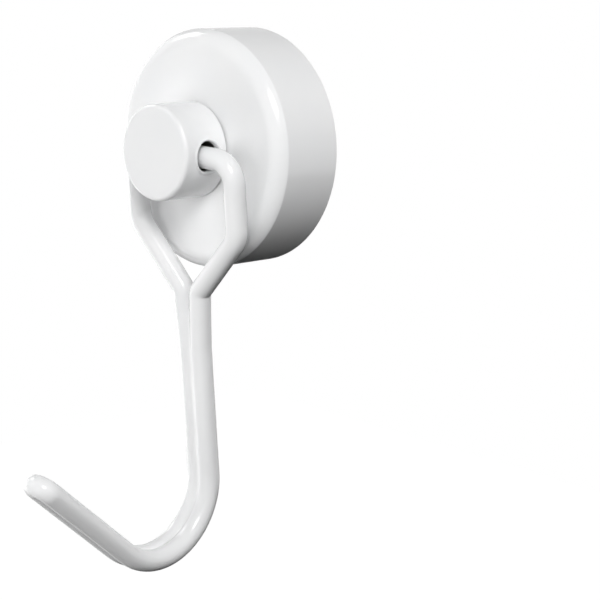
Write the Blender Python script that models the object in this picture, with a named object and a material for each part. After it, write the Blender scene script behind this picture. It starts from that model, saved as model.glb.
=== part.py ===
"""Magnetic hook: a drawn steel cup magnet with a swivelling boss and a swinging wire hook.

Metres, +Z up. The origin is the centre of the open magnetic face of the cup. +Y points into
the steel that the hook sticks to, -Y is the front, and X runs along the cross hole of the boss.
The boss turns about Y in the floor of the cup, and the hook swings about X in the boss.
"""

import math

import bmesh
import bpy
from mathutils import Vector

# Clearances between pieces
SEAT_GAP = 0.0003  # between two pieces that rest on each other
SEAM_GAP = 0.0002  # under the boss, where the joint shows as a fine dark line
MERGE_DISTANCE = 0.000001  # points closer than this are one point
CUT_OVERRUN = 0.0010  # how far a cutter reaches past the face that it cuts

# Drawn steel cup
CUP_DIAMETER = 0.0320
CUP_HEIGHT = 0.0108
CUP_WALL = 0.0012
CUP_SHOULDER_RADIUS = 0.0026  # wide round shoulder, which starts level with the front face
CUP_SHOULDER_DEGREES = 65.0  # how far it turns before the small edge to the side wall
CUP_EDGE_RADIUS = 0.0005
CUP_INSIDE_RADIUS = 0.0007
CUP_RIM_CHAMFER = 0.0002

# Bent wire
WIRE_DIAMETER = 0.0030

# Turned boss with its cross hole and its tenon, which turns in the hole of the cup
BOSS_DIAMETER = 0.0128
BOSS_EDGE_RADIUS = 0.0006
BOSS_FOOT_CHAMFER = 0.0002
BOSS_CROWN = 0.0020  # solid metal between the cross hole and the front of the boss
CROSS_HOLE_CLEARANCE = 0.0012  # the hole is wider than the wire by this much
CROSS_HOLE_STANDOFF = 0.0019  # free height between a wire on the hole's axis and the cup
COUNTERSINK_DEPTH = 0.0004
TENON_DIAMETER = 0.0036
TENON_HEAD_OVERHANG = 0.0008  # how far the peened head spreads past the tenon
TENON_HEAD_LIP = 0.0003
TENON_HEAD_CROWN = 0.0006

# Washer that the peened head turns on
WASHER_MARGIN = 0.0004  # past the edge of the peened head
WASHER_THICKNESS = 0.0008

# Plastic ring that centres the magnet
SPACER_WALL = 0.0011
SPACER_HEIGHT = 0.0048
SPACER_RECESS = 0.0004  # below the rim of the cup
SPACER_CHAMFER = 0.0003

# Ferrite ring and its glue
BORE_CLEARANCE = 0.0004  # round the washer
MAGNET_CHAMFER = 0.0003
GLUE_THICKNESS = 0.0004
GLUE_MARGIN = 0.0008  # how far the glue stays inside the edges of the magnet

# Bail: the loop of the wire round the boss, in the hook's own frame with the hinge at zero
WIRE_DROP = 0.0002  # the wire hangs this far below the axis of the cross hole
WIRE_END_GAP = 0.0010  # between the two ends of the wire inside the boss
LIMB_GAP = 0.0016  # between a limb and the side of the boss, with the bail in the middle
LIMB_NEAR_GAP = 0.0003  # the same on -X, where the bail has slid up to the boss
SHOULDER_REACH = 0.0012  # how far inside the boss the bend of that limb begins
REST_GAP = 0.0002  # between the hanging wire and the round shoulder of the cup
LIMB_LENGTH = 0.0103  # from the hinge down to the corner where a limb turns inward
BAIL_PAST_CUP = 0.0028  # from the side of the cup down to the corner where the strands meet
ELBOW_INSIDE_RADIUS = 0.0019
CROTCH_INSIDE_RADIUS = 0.0002

# Shank: both strands side by side, sunk into each other by the weld, less so at the tip
CROTCH_LEAD = 0.0004  # straight run between the crotch bend and the point where strands touch
CLOSING_RUN = 0.0060  # along which the strands sink together
WELD_SINK = 0.0008  # how much nearer the welded strands lie than two wires that touch
TIP_SINK = 0.0002  # the same at the tip, where the weld has run out
SHANK_RUN = 0.0262  # from the corner where the strands meet down to the hook bend

# Hook bend, a little tighter in its second part, and the arm
UPPER_BEND_INSIDE_RADIUS = 0.0082
UPPER_BEND_DEGREES = 60.0
LOWER_BEND_INSIDE_RADIUS = 0.0073
LOWER_BEND_DEGREES = 77.2
ARM_LENGTH = 0.0172

# Facets
CUP_SIDES = 72
BOSS_SIDES = 56
MAGNET_SIDES = 64
HOLE_SIDES = 40
SMALL_SIDES = 32
WIRE_SIDES = 16
EDGE_STEPS = 5
SMALL_EDGE_STEPS = 2
CROWN_STEPS = 3
BEND_STEPS = 6
UPPER_BEND_STEPS = 7
LOWER_BEND_STEPS = 10
CLOSING_STEPS = 4
TIP_STEPS = 6
SHARP_DEGREES = 35.0

# Worked out from the sizes above: cup
CUP_RADIUS = CUP_DIAMETER / 2
CUP_BORE_RADIUS = CUP_RADIUS - CUP_WALL
FRONT_Y = -CUP_HEIGHT
SHOULDER_TURN = math.radians(CUP_SHOULDER_DEGREES)
SHOULDER_DIFFERENCE = CUP_SHOULDER_RADIUS - CUP_EDGE_RADIUS
SHOULDER_START_RADIUS = CUP_RADIUS - CUP_EDGE_RADIUS - SHOULDER_DIFFERENCE * math.sin(SHOULDER_TURN)
FLOOR_Y = FRONT_Y + CUP_WALL

# Worked out: boss, with its hole just wide enough for the wire to swing
WIRE_RADIUS = WIRE_DIAMETER / 2
BOSS_RADIUS = BOSS_DIAMETER / 2
CROSS_HOLE_RADIUS = (WIRE_DIAMETER + CROSS_HOLE_CLEARANCE) / 2
CROSS_HOLE_Y = FRONT_Y - CROSS_HOLE_STANDOFF - WIRE_RADIUS
BOSS_FOOT_Y = FRONT_Y - SEAM_GAP
BOSS_FACE_Y = CROSS_HOLE_Y - CROSS_HOLE_RADIUS - BOSS_CROWN
TENON_RADIUS = TENON_DIAMETER / 2
TENON_CLEAR_RADIUS = TENON_RADIUS + SEAT_GAP
TENON_HEAD_RADIUS = TENON_RADIUS + TENON_HEAD_OVERHANG

# Worked out: what lies in the cup
WASHER_RADIUS = TENON_HEAD_RADIUS + WASHER_MARGIN
WASHER_Y = FLOOR_Y + SEAT_GAP
TENON_HEAD_Y = WASHER_Y + WASHER_THICKNESS + SEAT_GAP
SPACER_RADIUS = CUP_BORE_RADIUS - SEAT_GAP
MAGNET_RADIUS = SPACER_RADIUS - SPACER_WALL - SEAT_GAP
BORE_RADIUS = WASHER_RADIUS + BORE_CLEARANCE
GLUE_Y = FLOOR_Y + SEAT_GAP
MAGNET_Y = GLUE_Y + GLUE_THICKNESS + SEAT_GAP

# Worked out: hook
BAIL_SLIDE = LIMB_GAP - LIMB_NEAR_GAP
HINGE = Vector((BAIL_SLIDE, CROSS_HOLE_Y, -WIRE_DROP))
LIMB_X = BOSS_RADIUS + LIMB_GAP + WIRE_RADIUS
BAIL_DEPTH = CUP_RADIUS + BAIL_PAST_CUP
SHANK_LENGTH = BAIL_DEPTH + SHANK_RUN
SHOULDER_RADIUS = LIMB_NEAR_GAP + WIRE_RADIUS + SHOULDER_REACH
ELBOW_RADIUS = ELBOW_INSIDE_RADIUS + WIRE_RADIUS
CROTCH_RADIUS = CROTCH_INSIDE_RADIUS + WIRE_RADIUS
WELD_X = WIRE_RADIUS - WELD_SINK / 2
TIP_X = WIRE_RADIUS - TIP_SINK / 2
BENDS = (
    (UPPER_BEND_INSIDE_RADIUS + WIRE_RADIUS, math.radians(UPPER_BEND_DEGREES), UPPER_BEND_STEPS),
    (LOWER_BEND_INSIDE_RADIUS + WIRE_RADIUS, math.radians(LOWER_BEND_DEGREES), LOWER_BEND_STEPS),
)
ARM_RUN = sum(radius * sweep for radius, sweep, steps in BENDS) + ARM_LENGTH


def clear_scene():
    """Remove every object that the new scene starts with."""
    for item in list(bpy.data.objects):
        bpy.data.objects.remove(item, do_unlink=True)


def make_material(name, colour, roughness, metallic):
    """Return a Principled material of one colour."""
    material = bpy.data.materials.new(name)
    material.use_nodes = True
    shader = material.node_tree.nodes["Principled BSDF"]
    shader.inputs["Base Color"].default_value = (*colour, 1.0)
    shader.inputs["Roughness"].default_value = roughness
    shader.inputs["Metallic"].default_value = metallic
    material.diffuse_color = (*colour, 1.0)
    return material


def add_object(name, bm, material=None):
    """Turn a bmesh into an object, smooth between its sharp edges."""
    mesh = bpy.data.meshes.new(name)
    bm.to_mesh(mesh)
    bm.free()
    mesh.shade_smooth()
    mesh.set_sharp_from_angle(angle=math.radians(SHARP_DEGREES))
    if material:
        mesh.materials.append(material)
    item = bpy.data.objects.new(name, mesh)
    bpy.context.scene.collection.objects.link(item)
    return item


def arc(centre, radius, start_degrees, end_degrees, steps):
    """Points of a round corner, as (first, second) pairs about a centre."""
    points = []
    for step in range(steps + 1):
        turn = math.radians(start_degrees + (end_degrees - start_degrees) * step / steps)
        points.append((centre[0] + radius * math.cos(turn), centre[1] + radius * math.sin(turn)))
    return points


def turned(profile, sides, closed, axis="Y"):
    """Spin a profile of (radius, place along the axis) about an axis through the origin.

    A closed profile makes a ring. An open one starts and ends on the axis.
    """
    bm = bmesh.new()
    if axis == "Y":
        points = [Vector((radius, along, 0.0)) for radius, along in profile]
        spin_axis = Vector((0.0, 1.0, 0.0))
    else:
        points = [Vector((along, radius, 0.0)) for radius, along in profile]
        spin_axis = Vector((1.0, 0.0, 0.0))
    verts = [bm.verts.new(point) for point in points]
    pairs = list(zip(verts, verts[1:]))
    if closed:
        pairs.append((verts[-1], verts[0]))
    edges = [bm.edges.new(pair) for pair in pairs]
    bmesh.ops.spin(bm, geom=verts + edges, cent=Vector(), axis=spin_axis,
                   angle=math.tau, steps=sides, use_merge=True)
    bmesh.ops.remove_doubles(bm, verts=bm.verts, dist=MERGE_DISTANCE)
    bmesh.ops.recalc_face_normals(bm, faces=bm.faces)
    return bm


def make_cup(material):
    """Drawn cup: round front shoulder, plain wall, open at the back, hole for the tenon."""
    shoulder = (SHOULDER_START_RADIUS, FRONT_Y + CUP_SHOULDER_RADIUS)
    edge_y = shoulder[1] - SHOULDER_DIFFERENCE * math.cos(SHOULDER_TURN)
    edge = (CUP_RADIUS - CUP_EDGE_RADIUS, edge_y)
    edge_start = CUP_SHOULDER_DEGREES - 90.0
    inner_corner = (CUP_BORE_RADIUS - CUP_INSIDE_RADIUS, FLOOR_Y + CUP_INSIDE_RADIUS)
    profile = [
        (CUP_RADIUS - CUP_RIM_CHAMFER, 0.0),
        (CUP_RADIUS, -CUP_RIM_CHAMFER),
        *arc(edge, CUP_EDGE_RADIUS, 0.0, edge_start, SMALL_EDGE_STEPS),
        *arc(shoulder, CUP_SHOULDER_RADIUS, edge_start, -90.0, EDGE_STEPS)[1:],
        (TENON_CLEAR_RADIUS, FRONT_Y),
        (TENON_CLEAR_RADIUS, FLOOR_Y),
        *arc(inner_corner, CUP_INSIDE_RADIUS, -90.0, 0.0, EDGE_STEPS),
        (CUP_BORE_RADIUS, -CUP_RIM_CHAMFER),
        (CUP_BORE_RADIUS + CUP_RIM_CHAMFER, 0.0),
    ]
    return add_object("magnet_cup", turned(profile, CUP_SIDES, closed=True), material)


def make_hole_cutter():
    """Cross hole along X, opened out by a countersink at both ends."""
    half_profile = [
        (0.0, BOSS_RADIUS + CUT_OVERRUN),
        (CROSS_HOLE_RADIUS + COUNTERSINK_DEPTH + CUT_OVERRUN, BOSS_RADIUS + CUT_OVERRUN),
        (CROSS_HOLE_RADIUS, BOSS_RADIUS - COUNTERSINK_DEPTH),
    ]
    profile = half_profile + [(radius, -along) for radius, along in reversed(half_profile)]
    cutter = add_object("cross_hole_cutter", turned(profile, HOLE_SIDES, closed=False, axis="X"))
    cutter.location = (0.0, CROSS_HOLE_Y, 0.0)
    cutter.hide_render = True
    cutter.display_type = "WIRE"
    return cutter


def tenon_head_profile():
    """Peened head: a straight lip on the washer, then a low crown up to the axis."""
    profile = [(TENON_HEAD_RADIUS, TENON_HEAD_Y)]
    for step in range(CROWN_STEPS + 1):
        turn = math.pi / 2 * step / CROWN_STEPS
        rise = TENON_HEAD_LIP + TENON_HEAD_CROWN * math.sin(turn)
        profile.append((TENON_HEAD_RADIUS * math.cos(turn), TENON_HEAD_Y + rise))
    return profile


def make_boss(material):
    """Turned boss: round front edge, cross hole, and a tenon peened over inside the cup."""
    face_corner = (BOSS_RADIUS - BOSS_EDGE_RADIUS, BOSS_FACE_Y + BOSS_EDGE_RADIUS)
    profile = [
        (0.0, BOSS_FACE_Y),
        *arc(face_corner, BOSS_EDGE_RADIUS, -90.0, 0.0, EDGE_STEPS),
        (BOSS_RADIUS, BOSS_FOOT_Y - BOSS_FOOT_CHAMFER),
        (BOSS_RADIUS - BOSS_FOOT_CHAMFER, BOSS_FOOT_Y),
        (TENON_RADIUS, BOSS_FOOT_Y),
        (TENON_RADIUS, TENON_HEAD_Y),
        *tenon_head_profile(),
    ]
    boss = add_object("hook_boss", turned(profile, BOSS_SIDES, closed=False), material)
    cut = boss.modifiers.new("cross_hole", "BOOLEAN")
    cut.operation = "DIFFERENCE"
    cut.solver = "EXACT"
    cut.object = make_hole_cutter()
    return boss


def make_washer(material):
    """Flat washer between the floor of the cup and the peened head."""
    top = WASHER_Y + WASHER_THICKNESS
    profile = [
        (WASHER_RADIUS, WASHER_Y),
        (WASHER_RADIUS, top),
        (TENON_CLEAR_RADIUS, top),
        (TENON_CLEAR_RADIUS, WASHER_Y),
    ]
    return add_object("boss_washer", turned(profile, SMALL_SIDES, closed=True), material)


def make_magnet(material):
    """Ring magnet, flush with the rim of the cup, its edges broken by the grinding."""
    profile = [
        (MAGNET_RADIUS - MAGNET_CHAMFER, 0.0),
        (MAGNET_RADIUS, -MAGNET_CHAMFER),
        (MAGNET_RADIUS, MAGNET_Y + MAGNET_CHAMFER),
        (MAGNET_RADIUS - MAGNET_CHAMFER, MAGNET_Y),
        (BORE_RADIUS, MAGNET_Y),
        (BORE_RADIUS, -MAGNET_CHAMFER),
        (BORE_RADIUS + MAGNET_CHAMFER, 0.0),
    ]
    return add_object("ring_magnet", turned(profile, MAGNET_SIDES, closed=True), material)


def make_glue(material):
    """Layer of epoxy that holds the magnet to the floor of the cup."""
    outer = MAGNET_RADIUS - GLUE_MARGIN
    inner = BORE_RADIUS + GLUE_MARGIN
    top = GLUE_Y + GLUE_THICKNESS
    profile = [(outer, GLUE_Y), (outer, top), (inner, top), (inner, GLUE_Y)]
    return add_object("glue_bed", turned(profile, MAGNET_SIDES, closed=True), material)


def make_spacer(material):
    """Plastic ring that fills the mouth of the cup round the magnet."""
    inner = SPACER_RADIUS - SPACER_WALL
    mouth = -SPACER_RECESS
    back = mouth - SPACER_HEIGHT
    profile = [
        (SPACER_RADIUS - SPACER_CHAMFER, mouth),
        (SPACER_RADIUS, mouth - SPACER_CHAMFER),
        (SPACER_RADIUS, back),
        (inner, back),
        (inner, mouth - SPACER_CHAMFER),
        (inner + SPACER_CHAMFER, mouth),
    ]
    return add_object("spacer_ring", turned(profile, MAGNET_SIDES, closed=True), material)


def rounded_path(corners, radii, steps):
    """Run through 2-D corners with round bends, as a list of (point, heading)."""
    run = [(corners[0], (corners[1] - corners[0]).normalized())]
    for before, corner, after, radius in zip(corners, corners[1:], corners[2:], radii):
        heading_in = (corner - before).normalized()
        heading_out = (after - corner).normalized()
        turn = heading_in.angle_signed(heading_out)
        setback = radius * math.tan(abs(turn) / 2)
        side = Vector((heading_in.y, -heading_in.x)) * math.copysign(1.0, turn)
        centre = corner - heading_in * setback + side * radius
        for step in range(steps + 1):
            part = turn * step / steps
            spoke = -side
            spoke = Vector((spoke.x * math.cos(part) + spoke.y * math.sin(part),
                            spoke.y * math.cos(part) - spoke.x * math.sin(part)))
            heading = Vector((heading_in.x * math.cos(part) + heading_in.y * math.sin(part),
                              heading_in.y * math.cos(part) - heading_in.x * math.sin(part)))
            run.append((centre + spoke * radius, heading))
    run.append((corners[-1], (corners[-1] - corners[-2]).normalized()))
    return run


def bail_stations():
    """Sections of the +X limb, from its end in the boss to the full depth of the weld.

    Each section is (centre, outward direction, direction through the bail, half opening).
    The half opening is the angle of wire that is left where the strand runs into its twin.
    """
    closing_angle = math.atan2(WIRE_RADIUS - WELD_X, CLOSING_RUN)
    touch_x = WIRE_RADIUS * math.cos(closing_angle)
    lead = CROTCH_LEAD + CROTCH_RADIUS
    crotch = Vector((touch_x + lead * math.tan(closing_angle), -BAIL_DEPTH))
    touch = crotch + Vector((touch_x - crotch.x, -lead))
    corners = [
        Vector((WIRE_END_GAP / 2, 0.0)),
        Vector((LIMB_X, 0.0)),
        Vector((LIMB_X, -LIMB_LENGTH)),
        crotch,
        touch,
    ]
    radii = [SHOULDER_RADIUS, ELBOW_RADIUS, CROTCH_RADIUS]
    through = Vector((0.0, 1.0, 0.0))
    stations = []
    for point, heading in rounded_path(corners, radii, BEND_STEPS):
        outward = Vector((-heading.y, 0.0, heading.x))
        stations.append((Vector((point.x, 0.0, point.y)), outward, through, math.pi))
    outward = stations[-1][1]
    drop = (touch_x - WELD_X) / math.tan(closing_angle)
    for step in range(1, CLOSING_STEPS + 1):
        x = touch_x + (WELD_X - touch_x) * step / CLOSING_STEPS
        centre = Vector((x, 0.0, touch.y - drop * step / CLOSING_STEPS))
        section = outward if step < CLOSING_STEPS else Vector((1.0, 0.0, 0.0))
        opening = math.acos(-x / (WIRE_RADIUS * section.x))
        stations.append((centre, section, through, opening))
    return stations


def arm_section(place, outward, out, spacing):
    """One section of a strand whose centre lies a spacing away from the middle of the wire."""
    return (place + outward * spacing, outward, out, math.acos(-spacing / WIRE_RADIUS))


def arm_stations():
    """Sections of the +X strand round the hook bend, along the arm and round its tip.

    The strands part evenly along the way, from the end of the weld to the tip.
    """
    across = Vector((1.0, 0.0, 0.0))
    place = Vector((0.0, 0.0, -SHANK_LENGTH))
    out = Vector((0.0, 1.0, 0.0))
    stations = [arm_section(place, across, out, WELD_X)]
    turned_by = 0.0
    run = 0.0
    for radius, sweep, steps in BENDS:
        centre = place - out * radius
        for step in range(1, steps + 1):
            turn = turned_by + sweep * step / steps
            out = Vector((0.0, math.cos(turn), -math.sin(turn)))
            place = centre + out * radius
            share = (run + radius * sweep * step / steps) / ARM_RUN
            stations.append(arm_section(place, across, out, WELD_X + (TIP_X - WELD_X) * share))
        turned_by = turn
        run += radius * sweep
    heading = Vector((0.0, -math.sin(turned_by), -math.cos(turned_by)))
    end = place + heading * ARM_LENGTH
    for step in range(TIP_STEPS + 1):
        sweep = math.pi / 2 * step / TIP_STEPS
        spoke = across * math.cos(sweep) + heading * math.sin(sweep)
        stations.append(arm_section(end, spoke, out, TIP_X))
    return stations


def resting_lean():
    """Angle by which the hanging shank leans back until it rests on the shoulder of the cup.

    The shoulder is a round corner behind and below the hinge, and the wire lies along it.
    """
    behind = CUP_SHOULDER_RADIUS - (CROSS_HOLE_Y - FRONT_Y)
    below = SHOULDER_START_RADIUS - WIRE_DROP
    standoff = CUP_SHOULDER_RADIUS + WIRE_RADIUS + REST_GAP
    return math.atan2(behind, below) - math.asin(standoff / math.hypot(behind, below))


def make_hook(material, boss):
    """Wire bent double: the +X strand is skinned section by section and mirrored.

    Where the strands are welded, each section stops at the middle plane, so the two halves
    join along the crease between them.
    """
    bm = bmesh.new()
    rings = []
    for centre, outward, through, opening in bail_stations() + arm_stations():
        ring = []
        for side in range(WIRE_SIDES + 1):
            turn = opening * (2 * side / WIRE_SIDES - 1)
            offset = outward * math.cos(turn) + through * math.sin(turn)
            ring.append(bm.verts.new(centre + offset * WIRE_RADIUS))
        rings.append(ring)
    bm.faces.new(rings[0][:-1])
    for ring, following in zip(rings, rings[1:]):
        for side in range(WIRE_SIDES):
            bm.faces.new((ring[side], following[side], following[side + 1], ring[side + 1]))
    bmesh.ops.remove_doubles(bm, verts=bm.verts, dist=MERGE_DISTANCE)
    hook = add_object("wire_hook", bm, material)
    mirror = hook.modifiers.new("second_strand", "MIRROR")
    mirror.use_axis = (True, False, False)
    mirror.use_mirror_merge = True
    mirror.merge_threshold = MERGE_DISTANCE
    hook.parent = boss
    hook.location = HINGE
    hook.rotation_euler = (resting_lean(), 0.0, 0.0)
    return hook


def main():
    """Build the seven pieces of the magnetic hook."""
    clear_scene()
    white_coat = make_material("white_powder_coat", (0.83, 0.83, 0.82), 0.25, 0.0)
    ferrite = make_material("ferrite", (0.05, 0.05, 0.055), 0.6, 0.0)
    plastic = make_material("spacer_plastic", (0.75, 0.75, 0.73), 0.45, 0.0)
    epoxy = make_material("epoxy", (0.55, 0.5, 0.38), 0.4, 0.0)
    steel = make_material("zinc_plated_steel", (0.6, 0.6, 0.62), 0.35, 1.0)
    make_cup(white_coat)
    boss = make_boss(white_coat)
    make_washer(steel)
    make_magnet(ferrite)
    make_glue(epoxy)
    make_spacer(plastic)
    make_hook(white_coat, boss)


main()
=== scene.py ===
"""Dressed model of a white magnetic hook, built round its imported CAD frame.

A drawn steel cup holds a ferrite ring. A turned boss swivels in the floor of the cup, and a
wire bent double swings in the cross hole of the boss. Metres, +Z up, the origin at the centre
of the open magnetic face, -Y to the front.
"""

from __future__ import annotations

import logging
import math
from dataclasses import dataclass, field
from enum import Enum

import bmesh
import bpy
from mathutils import Matrix, Vector


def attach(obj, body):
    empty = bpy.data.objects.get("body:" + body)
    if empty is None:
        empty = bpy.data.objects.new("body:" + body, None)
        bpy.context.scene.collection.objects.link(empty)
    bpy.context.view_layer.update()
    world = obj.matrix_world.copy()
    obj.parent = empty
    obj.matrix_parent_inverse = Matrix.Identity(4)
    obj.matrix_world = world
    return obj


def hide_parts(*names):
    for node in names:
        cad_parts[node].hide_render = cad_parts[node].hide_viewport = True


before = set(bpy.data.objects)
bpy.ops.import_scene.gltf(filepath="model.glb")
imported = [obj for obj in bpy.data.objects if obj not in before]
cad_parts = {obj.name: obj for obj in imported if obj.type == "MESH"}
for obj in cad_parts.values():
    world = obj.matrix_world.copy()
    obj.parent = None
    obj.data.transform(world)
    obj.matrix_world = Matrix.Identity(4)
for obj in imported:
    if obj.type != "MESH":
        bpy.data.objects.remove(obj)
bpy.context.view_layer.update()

LOG = logging.getLogger("magnetic_hook")
MERGE_DISTANCE = 0.000001
SHARP_EDGE = math.radians(35.0)
MILLIMETRES_PER_METRE = 1000.0
WHITE = "FFFFFF"

# Sockets of the Mix node, which has a pair of inputs and an output for each kind of value.
MIX_FACTOR = 0
MIX_FLOAT_A, MIX_FLOAT_B, MIX_FLOAT_OUT = 2, 3, 0
MIX_VECTOR_A, MIX_VECTOR_B, MIX_VECTOR_OUT = 4, 5, 1
MIX_COLOUR_A, MIX_COLOUR_B, MIX_COLOUR_OUT = 6, 7, 2

Point2 = tuple[float, float]
Colour = tuple[float, float, float, float]
Row = list[bmesh.types.BMVert]


class Body(Enum):
    """Bodies of the CAD frame that the pieces ride on."""

    BASE = "base"
    BOSS = "boss"
    HOOK = "hook"


class Slot(Enum):
    """Material slots of the record."""

    WHITE_COAT = "white_coat"
    ZINC_STEEL = "zinc_plated_steel"
    FERRITE = "ferrite"
    SPACER = "spacer_plastic"
    EPOXY = "epoxy"


def linear(hex_colour: str) -> Colour:
    """Turn an sRGB hex colour into Blender's linear values.

    Args:
        hex_colour: six hex digits, red first.

    Returns:
        Linear red, green, blue and an alpha of 1.
    """
    values = []
    for start in range(0, 6, 2):
        share = int(hex_colour[start:start + 2], 16) / 255
        values.append(share / 12.92 if share <= 0.04045 else ((share + 0.055) / 1.055) ** 2.4)
    return (values[0], values[1], values[2], 1.0)


def add_node(tree: bpy.types.NodeTree, kind: str, inputs: dict | None = None,
             **settings: object) -> bpy.types.Node:
    """Add a node with its settings and links.

    Args:
        tree: the tree that gets the node.
        kind: Blender's name of the node type.
        inputs: for each input, by name or number, its value or the output that feeds it.
        settings: the node's own settings.

    Returns:
        The new node.
    """
    node = tree.nodes.new(kind)
    for name, value in settings.items():
        setattr(node, name, value)
    for key, value in (inputs or {}).items():
        if isinstance(value, bpy.types.NodeSocket):
            tree.links.new(value, node.inputs[key])
        else:
            node.inputs[key].default_value = value
    return node


def new_material(name: str) -> tuple[bpy.types.Material, bpy.types.NodeTree]:
    """Make an empty node material.

    Args:
        name: the name of the finish.

    Returns:
        The material and its node tree, without any node.
    """
    material = bpy.data.materials.new(name)
    material.use_nodes = True
    material.node_tree.nodes.clear()
    return material, material.node_tree


def arc(centre: Point2, radius: float, start: float, end: float, steps: int) -> list[Point2]:
    """Lay out the points of a round corner.

    Args:
        centre: centre of the corner.
        radius: its radius.
        start: first angle in degrees.
        end: last angle in degrees.
        steps: number of chords.

    Returns:
        Pairs in the plane of the centre.
    """
    points = []
    for step in range(steps + 1):
        turn = math.radians(start + (end - start) * step / steps)
        points.append((centre[0] + radius * math.cos(turn), centre[1] + radius * math.sin(turn)))
    return points


# Finishes.


@dataclass(frozen=True)
class PowderCoat:
    """Glossy white polyester powder coat, sprayed and baked on steel.

    It gives a bright, slightly soft gloss with a faint orange peel. Where it is worn or never
    reached, the bare steel shows.
    """

    colour: str = "EFEFEF"
    shade_colour: str = "EAEBEC"
    steel_colour: str = "8C8B86"
    roughness: float = 0.16
    steel_roughness: float = 0.36
    ior: float = 1.5
    peel_size: float = 0.0011
    peel_height: float = 0.0000022
    peel_detail: float = 1.5
    peel_contrast: float = 0.4
    cloud_size: float = 0.006
    cloud_detail: float = 2.0

    def material(self, name: str, bare: BareArea | None = None) -> bpy.types.Material:
        """Make the coat.

        Args:
            name: name of the material.
            bare: where the steel shows, if it shows.

        Returns:
            The material.
        """
        material, tree = new_material(name)
        place = add_node(tree, "ShaderNodeTexCoord").outputs["Object"]
        cloud = add_node(tree, "ShaderNodeTexNoise", {
            "Vector": place, "Scale": 1.0 / self.cloud_size, "Detail": self.cloud_detail})
        peel = add_node(tree, "ShaderNodeTexNoise", {
            "Vector": place, "Scale": 1.0 / self.peel_size, "Detail": self.peel_detail,
            "Roughness": self.peel_contrast})
        colour = add_node(tree, "ShaderNodeMix", {
            MIX_FACTOR: cloud.outputs[0], MIX_COLOUR_A: linear(self.colour),
            MIX_COLOUR_B: linear(self.shade_colour)}, data_type="RGBA").outputs[MIX_COLOUR_OUT]
        bump = add_node(tree, "ShaderNodeBump", {
            "Strength": 1.0, "Distance": self.peel_height, "Height": peel.outputs[0]})
        shader = add_node(tree, "ShaderNodeBsdfPrincipled", {
            "Base Color": colour, "Roughness": self.roughness, "IOR": self.ior,
            "Normal": bump.outputs[0]})
        if bare:
            mask = bare.mask(tree, place)
            worn = add_node(tree, "ShaderNodeMix", {
                MIX_FACTOR: mask, MIX_COLOUR_A: colour,
                MIX_COLOUR_B: linear(self.steel_colour)}, data_type="RGBA")
            rough = add_node(tree, "ShaderNodeMix", {
                MIX_FACTOR: mask, MIX_FLOAT_A: self.roughness,
                MIX_FLOAT_B: self.steel_roughness}, data_type="FLOAT")
            tree.links.new(worn.outputs[MIX_COLOUR_OUT], shader.inputs["Base Color"])
            tree.links.new(rough.outputs[MIX_FLOAT_OUT], shader.inputs["Roughness"])
            tree.links.new(mask, shader.inputs["Metallic"])
        add_node(tree, "ShaderNodeOutputMaterial", {"Surface": shader.outputs[0]})
        return material


@dataclass(frozen=True)
class BareArea:
    """Where the boss has no coat: deep in its cross hole, and on the tenon in the cup."""

    bore_y: float
    bore_radius: float
    coated_x: float
    tenon_y: float
    edge_noise_size: float = 0.0006
    edge_noise_detail: float = 3.0
    edge_noise_reach: float = 0.0006
    edge_width: float = 0.00012

    def mask(self, tree: bpy.types.NodeTree, place: bpy.types.NodeSocket) -> bpy.types.NodeSocket:
        """Add the nodes that find the bare steel.

        Args:
            tree: tree of the material.
            place: object coordinates.

        Returns:
            An output that is 1 on bare steel and 0 on the coat.
        """
        axes = add_node(tree, "ShaderNodeSeparateXYZ", {0: place})
        noise = add_node(tree, "ShaderNodeTexNoise", {
            "Vector": place, "Scale": 1.0 / self.edge_noise_size,
            "Detail": self.edge_noise_detail})
        ragged = add_node(tree, "ShaderNodeMath", {
            0: noise.outputs[0], 1: self.edge_noise_reach}, operation="MULTIPLY")
        aside = add_node(tree, "ShaderNodeMath", {0: axes.outputs[0]}, operation="ABSOLUTE")
        inward = add_node(tree, "ShaderNodeMath", {
            0: self.coated_x, 1: aside.outputs[0]}, operation="SUBTRACT")
        inward = add_node(tree, "ShaderNodeMath", {
            0: inward.outputs[0], 1: ragged.outputs[0]}, operation="ADD")
        off_y = add_node(tree, "ShaderNodeMath", {
            0: axes.outputs[1], 1: self.bore_y}, operation="SUBTRACT")
        off = add_node(tree, "ShaderNodeCombineXYZ", {1: off_y.outputs[0], 2: axes.outputs[2]})
        distance = add_node(tree, "ShaderNodeVectorMath", {0: off.outputs[0]}, operation="LENGTH")
        inside = add_node(tree, "ShaderNodeMath", {
            0: distance.outputs["Value"], 1: self.bore_radius + self.edge_width},
            operation="LESS_THAN")
        soft = add_node(tree, "ShaderNodeMapRange", {
            "Value": inward.outputs[0], "From Min": 0.0, "From Max": self.edge_width})
        bore = add_node(tree, "ShaderNodeMath", {
            0: soft.outputs[0], 1: inside.outputs[0]}, operation="MULTIPLY")
        tenon = add_node(tree, "ShaderNodeMath", {
            0: axes.outputs[1], 1: self.tenon_y}, operation="GREATER_THAN")
        return add_node(tree, "ShaderNodeMath", {
            0: bore.outputs[0], 1: tenon.outputs[0]}, operation="MAXIMUM").outputs[0]


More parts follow.
